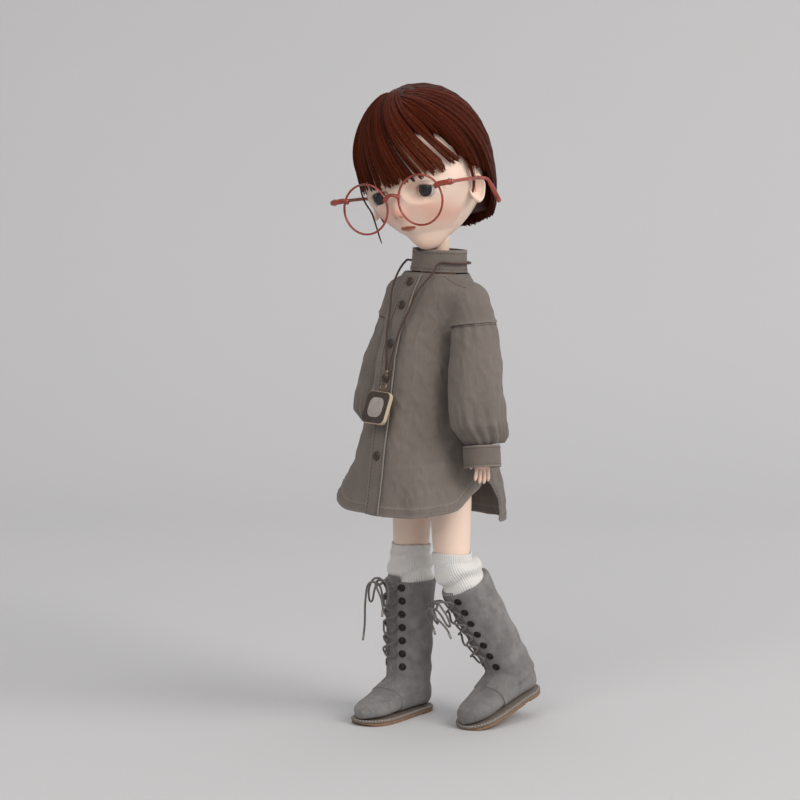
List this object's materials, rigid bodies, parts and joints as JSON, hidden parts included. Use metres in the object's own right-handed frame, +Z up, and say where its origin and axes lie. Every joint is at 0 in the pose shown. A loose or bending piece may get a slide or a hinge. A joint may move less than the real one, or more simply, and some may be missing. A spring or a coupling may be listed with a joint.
{
  "type": "ball jointed doll",
  "caption": "Elastic-strung ball jointed doll with a bob wig, round glasses, a long band-collar shirt, a cord necklace with a plain tag, and lace-up boots.",
  "frame": {"origin": "middle of the right boot's sole, on its underside", "axes": "+Z up along the standing doll, -Y the way its hips face, +X towards its left side"},
  "size_m": [0.0919, 0.0931, 0.2978],
  "materials": {
    "abdomen": "cast resin",
    "arm_elastic": "round elastic cord",
    "body_elastic": "round elastic cord",
    "button_placket": "woven cloth",
    "chest": "cast resin",
    "collar": "woven cloth",
    "fringe": "fibre hair",
    "glasses_frame": "translucent acetate",
    "hair_crown": "fibre hair",
    "head_cap": "cast resin",
    "head_face": "cast resin",
    "head_hook": "bent wire",
    "left_cuff": "woven cloth",
    "left_eye": "glossy",
    "left_foot": "cast resin",
    "left_forearm": "cast resin",
    "left_hand": "cast resin",
    "left_hip_ball": "cast resin",
    "left_laces": "waxed lace",
    "left_lens": "clear",
    "left_lock": "fibre hair",
    "left_shin": "cast resin",
    "left_shoulder_ball": "cast resin",
    "left_sleeve": "woven cloth",
    "left_sock": "rib knit",
    "left_sole": "matt",
    "left_temple": "translucent acetate",
    "left_thigh": "cast resin",
    "left_tongue": "suede",
    "left_upper": "suede",
    "left_upper_arm": "cast resin",
    "left_vamp": "suede",
    "left_wrist_hook": "bent wire",
    "neck": "cast resin",
    "necklace_cord": "thin round cord",
    "pelvis": "cast resin",
    "pendant_ring": "bent wire",
    "pendant_tag": "stitched tag",
    "right_cuff": "woven cloth",
    "right_eye": "glossy",
    "right_foot": "cast resin",
    "right_forearm": "cast resin",
    "right_hand": "cast resin",
    "right_hip_ball": "cast resin",
    "right_laces": "waxed lace",
    "right_lens": "clear",
    "right_lock": "fibre hair",
    "right_shin": "cast resin",
    "right_shoulder_ball": "cast resin",
    "right_sleeve": "woven cloth",
    "right_sock": "rib knit",
    "right_sole": "matt",
    "right_temple": "translucent acetate",
    "right_thigh": "cast resin",
    "right_tongue": "suede",
    "right_upper": "suede",
    "right_upper_arm": "cast resin",
    "right_vamp": "suede",
    "right_wrist_hook": "bent wire",
    "shirt_body": "woven cloth"
  },
  "bodies": {
    "pelvis": {"pelvis": "pelvis", "body_elastic": "body_elastic"},
    "abdomen": {"abdomen": "abdomen"},
    "chest": {"chest": "chest", "shirt_body": "shirt_body", "collar": "collar", "button_placket": "button_placket", "necklace_cord": "necklace_cord", "arm_elastic": "arm_elastic"},
    "neck": {"neck": "neck"},
    "head_hook": {"head_hook": "head_hook"},
    "head": {"head_face": "head_face", "head_cap": "head_cap", "left_eye": "left_eye", "right_eye": "right_eye", "hair_crown": "hair_crown", "fringe": "fringe", "left_lock": "left_lock", "right_lock": "right_lock"},
    "glasses": {"glasses_frame": "glasses_frame", "left_lens": "left_lens", "right_lens": "right_lens"},
    "left_temple": {"left_temple": "left_temple"},
    "right_temple": {"right_temple": "right_temple"},
    "pendant": {"pendant_ring": "pendant_ring", "pendant_tag": "pendant_tag"},
    "left_shoulder_ball": {"left_shoulder_ball": "left_shoulder_ball"},
    "left_upper_arm": {"left_upper_arm": "left_upper_arm", "left_sleeve": "left_sleeve"},
    "left_forearm": {"left_forearm": "left_forearm", "left_cuff": "left_cuff"},
    "left_wrist_hook": {"left_wrist_hook": "left_wrist_hook"},
    "left_hand": {"left_hand": "left_hand"},
    "left_hip_ball": {"left_hip_ball": "left_hip_ball"},
    "left_thigh": {"left_thigh": "left_thigh"},
    "left_shin": {"left_shin": "left_shin", "left_sock": "left_sock"},
    "left_foot": {"left_foot": "left_foot", "left_sole": "left_sole", "left_vamp": "left_vamp", "left_upper": "left_upper", "left_tongue": "left_tongue", "left_laces": "left_laces"},
    "right_shoulder_ball": {"right_shoulder_ball": "right_shoulder_ball"},
    "right_upper_arm": {"right_upper_arm": "right_upper_arm", "right_sleeve": "right_sleeve"},
    "right_forearm": {"right_forearm": "right_forearm", "right_cuff": "right_cuff"},
    "right_wrist_hook": {"right_wrist_hook": "right_wrist_hook"},
    "right_hand": {"right_hand": "right_hand"},
    "right_hip_ball": {"right_hip_ball": "right_hip_ball"},
    "right_thigh": {"right_thigh": "right_thigh"},
    "right_shin": {"right_shin": "right_shin", "right_sock": "right_sock"},
    "right_foot": {"right_foot": "right_foot", "right_sole": "right_sole", "right_vamp": "right_vamp", "right_upper": "right_upper", "right_tongue": "right_tongue", "right_laces": "right_laces"}
  },
  "joints": [
    {"name": "waist_bend", "type": "hinge", "parent": "pelvis", "child": "abdomen", "pos_m": [0.01476, 0.013, 0.1569], "axis": [-1, 0, 0], "range_deg": [-15, 8], "deforming": ["body_elastic", "shirt_body", "button_placket"]},
    {"name": "chest_twist", "type": "hinge", "parent": "abdomen", "child": "chest", "pos_m": [0.01476, 0.01392, 0.17287], "axis": [0, 0.0576, 0.9983], "range_deg": [-28, 12]},
    {"name": "neck_bend", "type": "hinge", "parent": "chest", "child": "neck", "pos_m": [0.01476, 0.01622, 0.21281], "axis": [-0.9903, -0.1389, 0.008], "range_deg": [-10, 8], "deforming": ["collar", "necklace_cord"]},
    {"name": "head_turn", "type": "hinge", "parent": "neck", "child": "head_hook", "pos_m": [0.01491, 0.01594, 0.2258], "axis": [0.0112, -0.0219, 0.9997], "range_deg": [-88, 32]},
    {"name": "head_tilt", "type": "hinge", "parent": "head_hook", "child": "head", "pos_m": [0.01491, 0.01594, 0.2258], "axis": [0.4505, -0.8925, -0.0246], "range_deg": [-20, 4]},
    {"name": "glasses_slide", "type": "slide", "parent": "head", "child": "glasses", "axis": [0.4505, -0.8925, -0.0246], "range_m": [0, 0.02]},
    {"name": "left_temple_spread", "type": "hinge", "parent": "glasses", "child": "left_temple", "pos_m": [0.05453, -0.00518, 0.25416], "axis": [0.1532, 0.1044, -0.9827], "range_deg": [0, 8]},
    {"name": "right_temple_spread", "type": "hinge", "parent": "glasses", "child": "right_temple", "pos_m": [0.00035, -0.03221, 0.24284], "axis": [-0.1532, -0.1044, 0.9827], "range_deg": [0, 8]},
    {"name": "pendant_swing", "type": "hinge", "parent": "chest", "child": "pendant", "pos_m": [0.02459, -0.02032, 0.163], "axis": [-0.9877, -0.1564, 0], "range_deg": [0, 60]},
    {"name": "left_shoulder_swing", "type": "hinge", "parent": "chest", "child": "left_shoulder_ball", "pos_m": [0.02862, 0.01731, 0.19772], "axis": [-0.9903, -0.1389, 0.008], "range_deg": [-25, 80], "deforming": ["arm_elastic", "left_sleeve"]},
    {"name": "left_shoulder_raise", "type": "hinge", "parent": "left_shoulder_ball", "child": "left_upper_arm", "pos_m": [0.03655, 0.01842, 0.19766], "axis": [0.1391, -0.99, 0.0221], "range_deg": [-2, 60]},
    {"name": "left_elbow_bend", "type": "hinge", "parent": "left_upper_arm", "child": "left_forearm", "pos_m": [0.04246, 0.0185, 0.16417], "axis": [-0.9749, -0.1408, -0.1726], "range_deg": [-3.7, 80]},
    {"name": "left_wrist_turn", "type": "hinge", "parent": "left_forearm", "child": "left_wrist_hook", "pos_m": [0.04776, 0.01672, 0.13572], "axis": [-0.1826, 0.0615, 0.9813], "range_deg": [-60, 60]},
    {"name": "left_wrist_bend", "type": "hinge", "parent": "left_wrist_hook", "child": "left_hand", "pos_m": [0.04776, 0.01672, 0.13572], "axis": [0.1276, -0.9881, 0.0856], "range_deg": [-12, 15], "deforming": ["left_cuff"]},
    {"name": "left_hip_swing", "type": "hinge", "parent": "pelvis", "child": "left_hip_ball", "pos_m": [0.02876, 0.013, 0.1369], "axis": [-1, 0, 0], "range_deg": [-20, 75]},
    {"name": "left_thigh_spread", "type": "hinge", "parent": "left_hip_ball", "child": "left_thigh", "pos_m": [0.02876, 0.01292, 0.1279], "axis": [0, -1, 0.0087], "range_deg": [-1.5, 25]},
    {"name": "left_knee_bend", "type": "hinge", "parent": "left_thigh", "child": "left_shin", "pos_m": [0.03081, 0.01249, 0.07895], "axis": [0.9976, -0.0555, 0.0423], "range_deg": [-29.6, 55.4], "deforming": ["left_sock"]},
    {"name": "left_ankle_bend", "type": "hinge", "parent": "left_shin", "child": "left_foot", "pos_m": [0.03478, 0.0426, 0.02489], "axis": [0.9888, 0.1495, 0], "range_deg": [-8, 10], "deforming": ["left_upper", "left_tongue", "left_laces"]},
    {"name": "right_shoulder_swing", "type": "hinge", "parent": "chest", "child": "right_shoulder_ball", "pos_m": [0.0009, 0.01342, 0.19795], "axis": [-0.9903, -0.1389, 0.008], "range_deg": [-25, 80], "deforming": ["arm_elastic", "right_sleeve"]},
    {"name": "right_shoulder_raise", "type": "hinge", "parent": "right_shoulder_ball", "child": "right_upper_arm", "pos_m": [-0.00702, 0.0123, 0.19801], "axis": [-0.1391, 0.99, -0.0221], "range_deg": [-2, 60]},
    {"name": "right_elbow_bend", "type": "hinge", "parent": "right_upper_arm", "child": "right_forearm", "pos_m": [-0.01327, 0.01068, 0.16463], "axis": [-0.9731, -0.1325, 0.1883], "range_deg": [-3.7, 80]},
    {"name": "right_wrist_turn", "type": "hinge", "parent": "right_forearm", "child": "right_wrist_hook", "pos_m": [-0.01832, 0.00745, 0.13625], "axis": [-0.1742, -0.1115, -0.9784], "range_deg": [-60, 60]},
    {"name": "right_wrist_bend", "type": "hinge", "parent": "right_wrist_hook", "child": "right_hand", "pos_m": [-0.01832, 0.00745, 0.13625], "axis": [-0.1506, 0.9849, -0.0854], "range_deg": [-12, 15], "deforming": ["right_cuff"]},
    {"name": "right_hip_swing", "type": "hinge", "parent": "pelvis", "child": "right_hip_ball", "pos_m": [0.00076, 0.013, 0.1369], "axis": [-1, 0, 0], "range_deg": [-20, 75]},
    {"name": "right_thigh_spread", "type": "hinge", "parent": "right_hip_ball", "child": "right_thigh", "pos_m": [0.00076, 0.0127, 0.1279], "axis": [0, 0.9995, -0.0332], "range_deg": [-1.5, 25]},
    {"name": "right_knee_bend", "type": "hinge", "parent": "right_thigh", "child": "right_shin", "pos_m": [-0.00086, 0.01108, 0.07896], "axis": [0.995, 0.093, -0.0361], "range_deg": [-1.9, 83.1], "deforming": ["right_sock"]},
    {"name": "right_ankle_bend", "type": "hinge", "parent": "right_shin", "child": "right_foot", "pos_m": [-0.00311, 0.01107, 0.017], "axis": [0.9627, 0.2706, 0], "range_deg": [-8, 10], "deforming": ["right_upper", "right_tongue", "right_laces"]}
  ]
}
